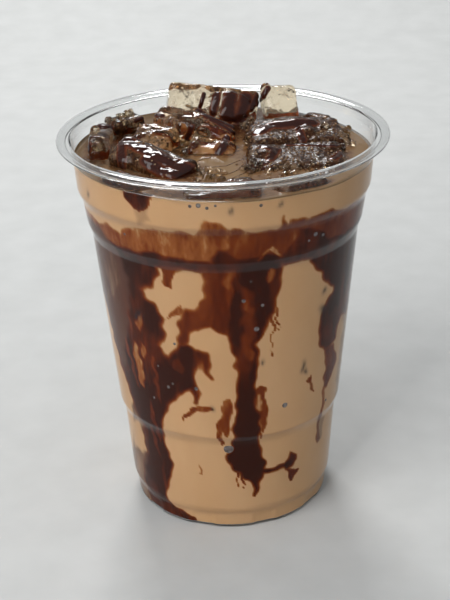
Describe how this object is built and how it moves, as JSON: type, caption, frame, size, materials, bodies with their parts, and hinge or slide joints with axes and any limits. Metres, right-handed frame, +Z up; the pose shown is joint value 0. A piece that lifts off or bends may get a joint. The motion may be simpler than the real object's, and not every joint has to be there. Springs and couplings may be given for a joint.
{
  "type": "iced coffee in a clear cup",
  "caption": "Milky iced coffee with dark syrup and melting ice in a tapered clear disposable cup with a rolled rim.",
  "frame": {"origin": "centre of the foot ring's flat underside", "axes": "+Z up along the cup's axis, -Y towards the shown front"},
  "size_m": [0.098, 0.098, 0.1246],
  "materials": {
    "clear_plastic": "clear, smooth",
    "milky_coffee": "opaque milky drink streaked with dark syrup",
    "ice": "wet, cloudy, with dark syrup on top",
    "syrup": "dark, wet, glossy syrup"
  },
  "bodies": {
    "root": {"cup": "clear_plastic", "coffee": "milky_coffee", "ice_rear_left": "ice", "ice_rear_right": "ice", "ice_centre": "ice", "ice_centre_front": "ice", "ice_left_back": "ice", "ice_front_left": "ice", "ice_left": "ice", "ice_far_left": "ice", "ice_far_left_back": "ice", "ice_right_back": "ice", "ice_right_front": "ice", "ice_rear_low": "ice", "ice_front": "ice", "ice_front_far_left": "ice", "ice_front_right": "ice"}
  },
  "joints": []
}
